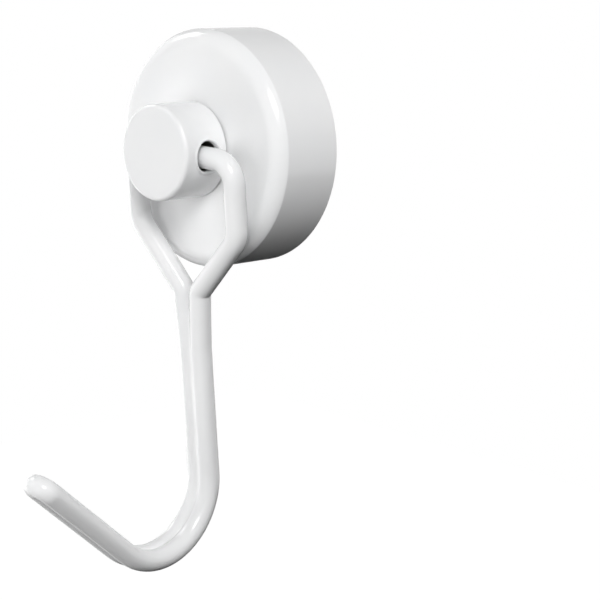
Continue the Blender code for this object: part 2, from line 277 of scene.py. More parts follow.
@dataclass(frozen=True)
class ZincPlate:
    """Bright zinc plate on stamped mild steel: cool grey metal with a fine mottled haze.

    The haze is drawn a little coarser than the real one, so that it shows.
    """

    colour: str = "B9BCC0"
    dull_colour: str = "A3A6A8"
    roughness: float = 0.3
    dull_roughness: float = 0.42
    grain_size: float = 0.0005
    grain_detail: float = 4.0
    grain_height: float = 0.000004
    bump_strength: float = 0.4

    def material(self, name: str) -> bpy.types.Material:
        """Make the plated steel.

        Args:
            name: name of the material.

        Returns:
            The material.
        """
        material, tree = new_material(name)
        place = add_node(tree, "ShaderNodeTexCoord").outputs["Object"]
        grain = add_node(tree, "ShaderNodeTexNoise", {
            "Vector": place, "Scale": 1.0 / self.grain_size, "Detail": self.grain_detail})
        colour = add_node(tree, "ShaderNodeMix", {
            MIX_FACTOR: grain.outputs[0], MIX_COLOUR_A: linear(self.colour),
            MIX_COLOUR_B: linear(self.dull_colour)}, data_type="RGBA")
        rough = add_node(tree, "ShaderNodeMix", {
            MIX_FACTOR: grain.outputs[0], MIX_FLOAT_A: self.roughness,
            MIX_FLOAT_B: self.dull_roughness}, data_type="FLOAT")
        bump = add_node(tree, "ShaderNodeBump", {
            "Strength": self.bump_strength, "Distance": self.grain_height,
            "Height": grain.outputs[0]})
        shader = add_node(tree, "ShaderNodeBsdfPrincipled", {
            "Base Color": colour.outputs[MIX_COLOUR_OUT], "Metallic": 1.0,
            "Roughness": rough.outputs[MIX_FLOAT_OUT], "Normal": bump.outputs[0]})
        add_node(tree, "ShaderNodeOutputMaterial", {"Surface": shader.outputs[0]})
        return material


@dataclass(frozen=True)
class GroundFerrite:
    """Sintered hard ferrite with a ground face: charcoal grey, matt, with grinding lines.

    The real lines and pores are a few hundredths of a millimetre wide. They are drawn as coarse
    as they need to be to show at all.
    """

    colour: str = "3B3C3F"
    line_colour: str = "4C4D50"
    roughness: float = 0.55
    ior: float = 1.9
    line_pitch: float = 0.0004
    line_detail: float = 2.0
    across_lines: tuple[float, float, float] = (0.02, 1.0, 1.0)
    pore_size: float = 0.0003
    pore_detail: float = 3.0
    relief_height: float = 0.00001
    bump_strength: float = 0.5

    def material(self, name: str) -> bpy.types.Material:
        """Make the ferrite.

        Args:
            name: name of the material.

        Returns:
            The material.
        """
        material, tree = new_material(name)
        place = add_node(tree, "ShaderNodeTexCoord").outputs["Object"]
        # The grinding wheel leaves straight parallel lines, so the noise is stretched along X.
        stretched = add_node(tree, "ShaderNodeMapping", {
            "Vector": place, "Scale": self.across_lines})
        lines = add_node(tree, "ShaderNodeTexNoise", {
            "Vector": stretched.outputs[0], "Scale": 1.0 / self.line_pitch,
            "Detail": self.line_detail})
        pores = add_node(tree, "ShaderNodeTexNoise", {
            "Vector": place, "Scale": 1.0 / self.pore_size, "Detail": self.pore_detail})
        height = add_node(tree, "ShaderNodeMath", {
            0: lines.outputs[0], 1: pores.outputs[0]}, operation="ADD")
        colour = add_node(tree, "ShaderNodeMix", {
            MIX_FACTOR: lines.outputs[0], MIX_COLOUR_A: linear(self.colour),
            MIX_COLOUR_B: linear(self.line_colour)}, data_type="RGBA")
        bump = add_node(tree, "ShaderNodeBump", {
            "Strength": self.bump_strength, "Distance": self.relief_height,
            "Height": height.outputs[0]})
        shader = add_node(tree, "ShaderNodeBsdfPrincipled", {
            "Base Color": colour.outputs[MIX_COLOUR_OUT], "Roughness": self.roughness,
            "IOR": self.ior, "Normal": bump.outputs[0]})
        add_node(tree, "ShaderNodeOutputMaterial", {"Surface": shader.outputs[0]})
        return material


@dataclass(frozen=True)
class MouldedPolymer:
    """Plastic or resin from a mould or a nozzle: even colour, fine texture, soft sheen."""

    colour: str
    shade_colour: str
    roughness: float
    ior: float
    texture_size: float
    texture_height: float
    texture_detail: float = 3.0
    bump_strength: float = 0.5

    def material(self, name: str) -> bpy.types.Material:
        """Make the polymer.

        Args:
            name: name of the material.

        Returns:
            The material.
        """
        material, tree = new_material(name)
        place = add_node(tree, "ShaderNodeTexCoord").outputs["Object"]
        texture = add_node(tree, "ShaderNodeTexNoise", {
            "Vector": place, "Scale": 1.0 / self.texture_size, "Detail": self.texture_detail})
        colour = add_node(tree, "ShaderNodeMix", {
            MIX_FACTOR: texture.outputs[0], MIX_COLOUR_A: linear(self.colour),
            MIX_COLOUR_B: linear(self.shade_colour)}, data_type="RGBA")
        bump = add_node(tree, "ShaderNodeBump", {
            "Strength": self.bump_strength, "Distance": self.texture_height,
            "Height": texture.outputs[0]})
        shader = add_node(tree, "ShaderNodeBsdfPrincipled", {
            "Base Color": colour.outputs[MIX_COLOUR_OUT], "Roughness": self.roughness,
            "IOR": self.ior, "Normal": bump.outputs[0]})
        add_node(tree, "ShaderNodeOutputMaterial", {"Surface": shader.outputs[0]})
        return material


# Milky white plastic with the soft sheen of a plain mould.
NATURAL_POLYPROPYLENE = MouldedPolymer(
    colour="E6E5E0", shade_colour="DEDDD7", roughness=0.42, ior=1.49,
    texture_size=0.0008, texture_height=0.000006)

# Amber resin, smooth where it set, a little uneven from the nozzle.
CURED_EPOXY = MouldedPolymer(
    colour="C9BE97", shade_colour="BFB288", roughness=0.3, ior=1.55,
    texture_size=0.002, texture_height=0.00002)


# Geometry trees.


def new_geometry_tree(name: str, sockets: dict[str, str]) -> tuple[
        bpy.types.NodeTree, bpy.types.Node, bpy.types.Node]:
    """Start a geometry tree with named inputs.

    Args:
        name: name of the tree.
        sockets: socket type of each input that follows the geometry.

    Returns:
        The tree, its input node and its output node.
    """
    tree = bpy.data.node_groups.new(name, "GeometryNodeTree")
    tree.interface.new_socket("Geometry", in_out="INPUT", socket_type="NodeSocketGeometry")
    for label, kind in sockets.items():
        tree.interface.new_socket(label, in_out="INPUT", socket_type=kind)
    tree.interface.new_socket("Geometry", in_out="OUTPUT", socket_type="NodeSocketGeometry")
    return tree, tree.nodes.new("NodeGroupInput"), tree.nodes.new("NodeGroupOutput")


def grid_over_stations(tree: bpy.types.NodeTree, source: bpy.types.Node) -> tuple[
        bpy.types.Node, bpy.types.NodeSocket, bpy.types.NodeSocket]:
    """Add a grid with one row for each station and one column for each side and one more.

    Args:
        tree: geometry tree.
        source: its input node, with the inputs Geometry and Sides.

    Returns:
        The grid node, the row of each point, and its column.
    """
    size = add_node(tree, "GeometryNodeAttributeDomainSize", {0: source.outputs["Geometry"]})
    columns = add_node(tree, "FunctionNodeIntegerMath", {
        0: source.outputs["Sides"], 1: 1}, operation="ADD").outputs[0]
    grid = add_node(tree, "GeometryNodeMeshGrid", {
        "Vertices X": size.outputs["Point Count"], "Vertices Y": columns})
    index = add_node(tree, "GeometryNodeInputIndex").outputs[0]
    row = add_node(tree, "FunctionNodeIntegerMath", {0: index, 1: columns},
                   operation="DIVIDE_FLOOR").outputs[0]
    column = add_node(tree, "FunctionNodeIntegerMath", {0: index, 1: columns},
                      operation="MODULO").outputs[0]
    return grid, row, column


def sample_station(tree: bpy.types.NodeTree, source: bpy.types.Node, row: bpy.types.NodeSocket,
                   name: str, data_type: str = "FLOAT") -> bpy.types.NodeSocket:
    """Read one value of the station that a grid point belongs to.

    Args:
        tree: geometry tree.
        source: its input node.
        row: row of the point.
        name: attribute of the stations, or Position.
        data_type: type of the attribute.

    Returns:
        The sampled value.
    """
    if name == "Position":
        value = add_node(tree, "GeometryNodeInputPosition").outputs[0]
    else:
        value = add_node(tree, "GeometryNodeInputNamedAttribute", {"Name": name},
                         data_type=data_type).outputs["Attribute"]
    return add_node(tree, "GeometryNodeSampleIndex", {
        "Geometry": source.outputs["Geometry"], "Value": value, "Index": row},
        data_type=data_type).outputs[0]


def finish_tree(tree: bpy.types.NodeTree, source: bpy.types.Node, target: bpy.types.Node,
                geometry: bpy.types.NodeSocket) -> None:
    """Close a tree: merge, smooth, realise and give the material.

    Args:
        tree: geometry tree.
        source: its input node.
        target: its output node.
        geometry: the geometry so far.
    """
    merged = add_node(tree, "GeometryNodeMergeByDistance", {
        "Geometry": geometry, "Distance": MERGE_DISTANCE})
    smooth = add_node(tree, "GeometryNodeSetShadeSmooth", {"Geometry": merged.outputs[0]})
    real = add_node(tree, "GeometryNodeRealizeInstances", {"Geometry": smooth.outputs[0]})
    dressed = add_node(tree, "GeometryNodeSetMaterial", {
        "Geometry": real.outputs[0], "Material": source.outputs["Material"]})
    tree.links.new(dressed.outputs[0], target.inputs[0])


def lathe_tree() -> bpy.types.NodeTree:
    """Make the tree that turns a profile about the Y axis.

    The points of the mesh that it is given hold (radius, place along Y).

    Returns:
        The geometry tree, with the inputs Sides and Material.
    """
    tree, source, target = new_geometry_tree("turned_piece", {
        "Sides": "NodeSocketInt", "Material": "NodeSocketMaterial"})
    grid, row, column = grid_over_stations(tree, source)
    profile = sample_station(tree, source, row, "Position", "FLOAT_VECTOR")
    place = add_node(tree, "ShaderNodeSeparateXYZ", {0: profile})
    share = add_node(tree, "ShaderNodeMath", {
        0: column, 1: source.outputs["Sides"]}, operation="DIVIDE")
    turn = add_node(tree, "ShaderNodeMath", {
        0: share.outputs[0], 1: math.tau}, operation="MULTIPLY").outputs[0]
    parts = []
    for operation in ("COSINE", "SINE"):
        wave = add_node(tree, "ShaderNodeMath", {0: turn}, operation=operation)
        parts.append(add_node(tree, "ShaderNodeMath", {
            0: wave.outputs[0], 1: place.outputs[0]}, operation="MULTIPLY").outputs[0])
    spot = add_node(tree, "ShaderNodeCombineXYZ", {0: parts[0], 1: place.outputs[1], 2: parts[1]})
    moved = add_node(tree, "GeometryNodeSetPosition", {
        "Geometry": grid.outputs["Mesh"], "Position": spot.outputs[0]})
    finish_tree(tree, source, target, moved.outputs[0])
    return tree


# Sums that place a point of a strand's section, in order: name, operation, operands. The round
# part of the section turns from one end of its opening to the other. The fillet of coat then
# turns from the corner down to the middle plane.
SECTION_SUMS = (
    ("way", "DIVIDE", "column", "sides"),
    ("twice the way", "MULTIPLY", "way", 2.0),
    ("side", "SUBTRACT", "twice the way", 1.0),
    ("size", "ABSOLUTE", "side"),
    ("sign", "SIGN", "side"),
    ("round way", "DIVIDE", "size", "round share"),
    ("round part", "MINIMUM", "round way", 1.0),
    ("half turn", "MULTIPLY", "opening", "round part"),
    ("turn", "MULTIPLY", "half turn", "sign"),
    ("turn cosine", "COSINE", "turn"),
    ("turn sine", "SINE", "turn"),
    ("round out", "MULTIPLY", "radius", "turn cosine"),
    ("round up", "MULTIPLY", "radius", "turn sine"),
    ("past round", "SUBTRACT", "size", "round share"),
    ("fillet share", "SUBTRACT", 1.0, "round share"),
    ("fillet part", "DIVIDE", "past round", "fillet share"),
    ("corner to middle", "SUBTRACT", math.pi / 2, "corner"),
    ("bend past corner", "MULTIPLY", "corner to middle", "fillet part"),
    ("bend", "ADD", "corner", "bend past corner"),
    ("bend cosine", "COSINE", "bend"),
    ("bend sine", "SINE", "bend"),
    ("fillet reach", "MULTIPLY", "fillet", "bend cosine"),
    ("fillet out", "SUBTRACT", "fillet reach", "spacing"),
    ("fillet drop", "MULTIPLY", "fillet", "bend sine"),
    ("fillet height", "SUBTRACT", "rise", "fillet drop"),
    ("fillet up", "MULTIPLY", "fillet height", "sign"),
    ("in fillet", "GREATER_THAN", "size", "round share"),
    ("ripples per metre", "DIVIDE", 1.0, "ripple size"),
)


def strand_tree() -> bpy.types.NodeTree:
    """Make the tree that skins one strand of the wire and mirrors it in X.

    Each section is a circle that stops short of its twin, and then a small hollow fillet of
    coat down to the middle plane. An open section is a whole circle with a fillet of nothing.

    Returns:
        The geometry tree. The stations that it is given hold the values of a Station.
    """
    tree, source, target = new_geometry_tree("welded_wire", {
        "Sides": "NodeSocketInt", "Round share": "NodeSocketFloat",
        "Ripple size": "NodeSocketFloat", "Ripple depth": "NodeSocketFloat",
        "Material": "NodeSocketMaterial"})
    grid, row, column = grid_over_stations(tree, source)
    value = {name: sample_station(tree, source, row, name)
             for name in ("radius", "opening", "corner", "spacing", "rise", "fillet")}
    value["column"] = column
    value["sides"] = source.outputs["Sides"]
    value["round share"] = source.outputs["Round share"]
    value["ripple size"] = source.outputs["Ripple size"]
    for name, operation, *operands in SECTION_SUMS:
        value[name] = add_node(tree, "ShaderNodeMath", {
            number: value.get(operand, operand) for number, operand in enumerate(operands)},
            operation=operation).outputs[0]
    place, outward, through = (sample_station(tree, source, row, name, "FLOAT_VECTOR")
                               for name in ("Position", "outward", "through"))
    spots = []
    for out, up in (("round out", "round up"), ("fillet out", "fillet up")):
        aside = add_node(tree, "ShaderNodeVectorMath", {0: outward, "Scale": value[out]},
                         operation="SCALE").outputs[0]
        risen = add_node(tree, "ShaderNodeVectorMath", {0: through, "Scale": value[up]},
                         operation="SCALE").outputs[0]
        spots.append(add_node(tree, "ShaderNodeVectorMath", {0: aside, 1: risen},
                              operation="ADD").outputs[0])
    offset = add_node(tree, "ShaderNodeMix", {
        MIX_FACTOR: value["in fillet"], MIX_VECTOR_A: spots[0],
        MIX_VECTOR_B: spots[1]}, data_type="VECTOR").outputs[MIX_VECTOR_OUT]
    spot = add_node(tree, "ShaderNodeVectorMath", {0: place, 1: offset}, operation="ADD")
    skin = add_node(tree, "GeometryNodeSetPosition", {
        "Geometry": grid.outputs["Mesh"], "Position": spot.outputs[0]}).outputs[0]
    twin = add_node(tree, "GeometryNodeTransform", {
        "Geometry": skin, "Scale": (-1.0, 1.0, 1.0)}).outputs[0]
    twin = add_node(tree, "GeometryNodeFlipFaces", {"Mesh": twin}).outputs[0]
    both = tree.nodes.new("GeometryNodeJoinGeometry")
    tree.links.new(skin, both.inputs[0])
    tree.links.new(twin, both.inputs[0])
    whole = add_node(tree, "GeometryNodeMergeByDistance", {
        "Geometry": both.outputs[0], "Distance": MERGE_DISTANCE}).outputs[0]
    ripple = add_node(tree, "ShaderNodeTexNoise", {
        "Vector": add_node(tree, "GeometryNodeInputPosition").outputs[0],
        "Scale": value["ripples per metre"], "Detail": 0.0}).outputs[0]
    depth = add_node(tree, "ShaderNodeMath", {
        0: ripple, 1: source.outputs["Ripple depth"]}, operation="MULTIPLY").outputs[0]
    sunk = add_node(tree, "ShaderNodeMath", {0: 0.0, 1: depth}, operation="SUBTRACT").outputs[0]
    inward = add_node(tree, "ShaderNodeVectorMath", {
        0: add_node(tree, "GeometryNodeInputNormal").outputs[0], "Scale": sunk},
        operation="SCALE").outputs[0]
    rippled = add_node(tree, "GeometryNodeSetPosition", {"Geometry": whole, "Offset": inward})
    finish_tree(tree, source, target, rippled.outputs[0])
    return tree


def add_object(name: str, mesh: bpy.types.Mesh) -> bpy.types.Object:
    """Put a mesh into the scene as an object at the origin.

    Args:
        name: name of the object.
        mesh: its mesh.

    Returns:
        The object.
    """
    item = bpy.data.objects.new(name, mesh)
    bpy.context.scene.collection.objects.link(item)
    return item


def grow(name: str, points: bpy.types.Mesh, tree: bpy.types.NodeTree,
         inputs: dict[str, object]) -> bpy.types.Object:
    """Run a geometry tree on a mesh of stations and keep the result as a plain mesh.

    Args:
        name: name of the piece.
        points: the stations.
        tree: the tree that skins them.
        inputs: a value for each named input.

    Returns:
        The finished piece, without a modifier.
    """
    item = add_object(name, points)
    modifier = item.modifiers.new("skin", "NODES")
    modifier.node_group = tree
    for socket in tree.interface.items_tree:
        if socket.name in inputs:
            modifier[socket.identifier] = inputs[socket.name]
    graph = bpy.context.evaluated_depsgraph_get()
    mesh = bpy.data.meshes.new_from_object(item.evaluated_get(graph), depsgraph=graph)
    item.modifiers.remove(modifier)
    item.data = mesh
    mesh.name = name
    mesh.set_sharp_from_angle(angle=SHARP_EDGE)
    return item


def turn_piece(name: str, profile: list[Point2], sides: int,
               material: bpy.types.Material) -> bpy.types.Object:
    """Turn a profile about the Y axis into a finished piece.

    Args:
        name: name of the piece.
        profile: pairs of radius and place along Y. A ring ends where it starts.
        sides: number of facets round the axis.
        material: finish of the piece.

    Returns:
        The piece.
    """
    points = bpy.data.meshes.new(name + "_profile")
    points.from_pydata([(radius, along, 0.0) for radius, along in profile], [], [])
    return grow(name, points, lathe_tree(), {"Sides": sides, "Material": material})


def hand_over(item: bpy.types.Object, body: Body, slot: Slot, *nodes: str) -> None:
    """Seat a finished piece in the frame and report it.

    Args:
        item: the piece.
        body: body that it rides on.
        slot: slot of the record for its finish; not used.
        nodes: CAD nodes that it stands for.
    """
    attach(item, body.value)
    if nodes:
        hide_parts(*nodes)
    corners = [Vector(corner) * MILLIMETRES_PER_METRE for corner in item.bound_box]
    size = [max(c[axis] for c in corners) - min(c[axis] for c in corners) for axis in range(3)]
    LOG.info("%s on %s: %d faces, %.2f x %.2f x %.2f mm", item.name, body.value,
             len(item.data.polygons), *size)


# Pieces.


@dataclass
class MagnetCup:
    """Drawn steel cup with a round front shoulder."""

    diameter: float = 0.0320
    height: float = 0.0108
    wall: float = 0.0012
    shoulder_radius: float = 0.0026
    shoulder_degrees: float = 65.0
    edge_radius: float = 0.0005
    inside_radius: float = 0.0007
    rim_chamfer: float = 0.0002
    tenon_hole_radius: float = 0.0021
    sides: int = 256
    edge_steps: int = 8
    shoulder_steps: int = 24
    inside_steps: int = 10

    @property
    def radius(self) -> float:
        """Outside radius."""
        return self.diameter / 2

    @property
    def bore_radius(self) -> float:
        """Inside radius."""
        return self.radius - self.wall

    @property
    def front_y(self) -> float:
        """Place of the front face."""
        return -self.height

    @property
    def floor_y(self) -> float:
        """Place of the floor inside."""
        return self.front_y + self.wall

    @property
    def shoulder_start(self) -> float:
        """Work out the radius at which the flat face ends.

        Returns:
            The radius.
        """
        turn = math.radians(self.shoulder_degrees)
        difference = self.shoulder_radius - self.edge_radius
        return self.radius - self.edge_radius - difference * math.sin(turn)

    def profile(self) -> list[Point2]:
        """Draw the closed profile, from the rim round the shoulder and back inside.

        Returns:
            Pairs of radius and place along Y.
        """
        turn = math.radians(self.shoulder_degrees)
        difference = self.shoulder_radius - self.edge_radius
        shoulder = (self.shoulder_start, self.front_y + self.shoulder_radius)
        edge = (self.radius - self.edge_radius, shoulder[1] - difference * math.cos(turn))
        edge_start = self.shoulder_degrees - 90.0
        inner = (self.bore_radius - self.inside_radius, self.floor_y + self.inside_radius)
        points = [
            (self.radius - self.rim_chamfer, 0.0),
            (self.radius, -self.rim_chamfer),
            *arc(edge, self.edge_radius, 0.0, edge_start, self.edge_steps),
            *arc(shoulder, self.shoulder_radius, edge_start, -90.0, self.shoulder_steps)[1:],
            (self.tenon_hole_radius, self.front_y),
            (self.tenon_hole_radius, self.floor_y),
            *arc(inner, self.inside_radius, -90.0, 0.0, self.inside_steps),
            (self.bore_radius, -self.rim_chamfer),
            (self.bore_radius + self.rim_chamfer, 0.0),
        ]
        return points + points[:1]

    def build(self, coat: bpy.types.Material) -> None:
        """Make the cup in its coat."""
        cup = turn_piece("coated_cup", self.profile(), self.sides, coat)
        hand_over(cup, Body.BASE, Slot.WHITE_COAT, "magnet_cup")


@dataclass
class HookBoss:
    """Turned boss with a cross hole whose mouths are rounded by the coat."""

    cup: MagnetCup
    diameter: float = 0.0128
    edge_radius: float = 0.0006
    foot_chamfer: float = 0.0002
    seam_gap: float = 0.0002
    crown: float = 0.0020
    wire_radius: float = 0.0015
    hole_radius: float = 0.0021
    hole_standoff: float = 0.0019
    coated_bore_radius: float = 0.00198
    coat_reach: float = 0.0012
    bead_foot_radius: float = 0.0026
    bead_crest_radius: float = 0.00232
    bead_height: float = 0.00009
    bead_depth: float = 0.0004
    tenon_radius: float = 0.0018
    head_radius: float = 0.0026
    head_y: float = -0.0082
    head_lip: float = 0.0003
    head_crown: float = 0.0006
    bare_margin: float = 0.0001
    sides: int = 192
    face_ring_share: float = 0.5
    edge_steps: int = 16
    head_steps: int = 8
    patch_columns: int = 15
    patch_rows: int = 22
    patch_height: float = 0.0055
    patch_steps: int = 6
    bead_steps: int = 6
    bore_shares: tuple[float, ...] = (0.9, 0.75, 0.5, 0.25, 0.0)

    @property
    def radius(self) -> float:
        """Radius of the boss."""
        return self.diameter / 2

    @property
    def hole_y(self) -> float:
        """Place of the cross hole's axis."""
        return self.cup.front_y - self.hole_standoff - self.wire_radius

    @property
    def face_y(self) -> float:
        """Place of the front face."""
        return self.hole_y - self.hole_radius - self.crown

    @property
    def foot_y(self) -> float:
        """Place of the foot, just above the cup."""
        return self.cup.front_y - self.seam_gap

    def row_offsets(self) -> list[float]:
        """Work out where the rows of the patches lie.

        Returns:
            Places along Y, from the axis of the cross hole.
        """
        half = self.patch_height / 2
        return [-half + self.patch_height * row / self.patch_rows
                for row in range(self.patch_rows + 1)]

    def profile(self) -> list[Point2]:
        """Draw the open profile from the middle of the face to that of the peened head.

        Returns:
            Pairs of radius and place along Y.
        """
        corner = (self.radius - self.edge_radius, self.face_y + self.edge_radius)
        head = []
        for step in range(self.head_steps + 1):
            turn = math.pi / 2 * step / self.head_steps
            rise = self.head_lip + self.head_crown * math.sin(turn)
            head.append((self.head_radius * math.cos(turn), self.head_y + rise))
        return [
            (0.0, self.face_y),
            (self.radius * self.face_ring_share, self.face_y),
            *arc(corner, self.edge_radius, -90.0, 0.0, self.edge_steps),
            *[(self.radius, self.hole_y + offset) for offset in self.row_offsets()],
            (self.radius, self.foot_y - self.foot_chamfer),
            (self.radius - self.foot_chamfer, self.foot_y),
            (self.tenon_radius, self.foot_y),
            (self.tenon_radius, self.head_y),
            (self.head_radius, self.head_y),
            *head,
        ]

    def surface_x(self, z: float) -> float:
        """How far out the side of the boss lies at a height."""
        return math.sqrt(self.radius ** 2 - z ** 2)

    @staticmethod
    def ring(bm: bmesh.types.BMesh, place: list[Vector], side: float) -> Row:
        """Add a closed row of points, mirrored to one side."""
        return [bm.verts.new((side * point.x, point.y, point.z)) for point in place]

    def patch_edge(self) -> list[Point2]:
        """Go once round the square patch that is left open in the side for a mouth.

        Returns:
            Pairs of Y and Z from the axis of the cross hole.
        """
        step = math.tau / self.sides
        columns = [self.radius * math.sin(step * column)
                   for column in range(-self.patch_columns, self.patch_columns + 1)]
        rows = self.row_offsets()
        edge = [(rows[0], z) for z in columns]
        edge += [(y, columns[-1]) for y in rows[1:]]
        edge += [(rows[-1], z) for z in reversed(columns[:-1])]
        edge += [(y, columns[0]) for y in reversed(rows[1:-1])]
        return edge

    def bead(self) -> list[Point2]:
        """Draw the profile of the bead of coat round a mouth, from its foot into the bore.

        Returns:
            Pairs of distance from the axis and height over the side of the boss.
        """
        rise = self.bead_crest_radius - self.bead_foot_radius
        fall = self.bead_crest_radius - self.coated_bore_radius
        points = []
        for step in range(1, self.bead_steps + 1):
            share = step / self.bead_steps
            points.append((self.bead_foot_radius + rise * share,
                           self.bead_height * (1 - math.cos(math.pi * share)) / 2))
        for step in range(1, 2 * self.bead_steps + 1):
            turn = math.pi / 2 * step / (2 * self.bead_steps)
            points.append((self.bead_crest_radius - fall * math.sin(turn),
                           self.bead_height - (self.bead_height + self.bead_depth)
                           * (1 - math.cos(turn))))
        return points

    def mouth(self, bm: bmesh.types.BMesh, side: float) -> Row:
        """Add the patch round one mouth, and its bead down to where the bore starts.

        Args:
            bm: mesh of the boss.
            side: 1 for the mouth on +X, -1 for the one on -X.

        Returns:
            The points of the bore's first ring.
        """
        edge = self.patch_edge()
        rings = []
        for step in range(self.patch_steps + 1):
            share = step / self.patch_steps
            place = []
            for y, z in edge:
                reach = math.hypot(y, z)
                scale = (reach + (self.bead_foot_radius - reach) * share) / reach
                place.append(Vector((self.surface_x(z * scale), self.hole_y + y * scale,
                                     z * scale)))
            rings.append(place)
        for radius, height in self.bead():
            place = []
            for y, z in edge:
                scale = radius / math.hypot(y, z)
                place.append(Vector((self.surface_x(z * scale) + height,
                                     self.hole_y + y * scale, z * scale)))
            rings.append(place)
        verts = [self.ring(bm, place, side) for place in rings]
        for first, second in zip(verts, verts[1:]):
            self.join(bm, first, second)
        return verts[-1]

    @staticmethod
    def join(bm: bmesh.types.BMesh, first: Row, second: Row) -> None:
        """Add the faces between two closed rows of points.

        Args:
            bm: mesh of the boss.
            first: one row.
            second: the other, with as many points.
        """
        for number in range(len(first)):
            following = (number + 1) % len(first)
            bm.faces.new((first[number], first[following], second[following], second[number]))

    def turned_skin(self, bm: bmesh.types.BMesh) -> None:
        """Add the turned outside, open where the two patches go.

        Args:
            bm: mesh of the boss.
        """
        profile = self.profile()
        offsets = self.row_offsets()
        low, high = self.hole_y + offsets[0], self.hole_y + offsets[-1]
        rows = []
        for radius, along in profile:
            rows.append([bm.verts.new((radius * math.cos(math.tau * column / self.sides), along,
                                       radius * math.sin(math.tau * column / self.sides)))
                         for column in range(self.sides)])
        for start, end, first, second in zip(profile, profile[1:], rows, rows[1:]):
            middle = (start[1] + end[1]) / 2
            on_side = start[0] == end[0] == self.radius and low < middle < high
            for column in range(self.sides):
                following = (column + 1) % self.sides
                # Columns from the middle of this face to the nearer mouth, on +X or on -X.
                past_mouth = (column + 0.5) % (self.sides / 2)
                if on_side and min(past_mouth, self.sides / 2 - past_mouth) < self.patch_columns:
                    continue
                bm.faces.new((first[column], second[column], second[following],
                              first[following]))

    def bore(self, bm: bmesh.types.BMesh, right: Row, left: Row) -> None:
        """Add the wall of the cross hole.

        Args:
            bm: mesh of the boss.
            right: the bore's first row of points, at the mouth on +X.
            left: its last, at the mouth on -X.
        """
        last = right
        for share in (*self.bore_shares, *(-share for share in self.bore_shares[-2::-1])):
            place = [Vector((vert.co.x * share, vert.co.y, vert.co.z)) for vert in right]
            ring = self.ring(bm, place, 1.0)
            self.join(bm, last, ring)
            last = ring
        self.join(bm, last, left)

    def mesh(self) -> bpy.types.Mesh:
        """Make the closed mesh of the boss with its hole.

        Returns:
            The mesh.
        """
        bm = bmesh.new()
        self.turned_skin(bm)
        right, left = self.mouth(bm, 1.0), self.mouth(bm, -1.0)
        self.bore(bm, right, left)
        bmesh.ops.remove_doubles(bm, verts=bm.verts, dist=MERGE_DISTANCE)
        bmesh.ops.recalc_face_normals(bm, faces=bm.faces)
        mesh = bpy.data.meshes.new("coated_boss")
        bm.to_mesh(mesh)
        bm.free()
        mesh.shade_smooth()
        mesh.set_sharp_from_angle(angle=SHARP_EDGE)
        return mesh

    def build(self, finish: PowderCoat) -> None:
        """Make the boss in its coat, bare in the bore and on the tenon.

        Args:
            finish: the coat.
        """
        boss = add_object("coated_boss", self.mesh())
        bare = BareArea(bore_y=self.hole_y, bore_radius=self.hole_radius,
                        coated_x=self.radius - self.coat_reach,
                        tenon_y=self.foot_y + self.bare_margin)
        boss.data.materials.append(finish.material("white_powder_coat_boss", bare))
        hand_over(boss, Body.BOSS, Slot.WHITE_COAT, "hook_boss")


@dataclass(frozen=True)
class Station:
    """One section of the +X strand of the wire, in the hook's own frame."""

    centre: Vector
    outward: Vector
    through: Vector
    radius: float
    spacing: float
    fillet: float


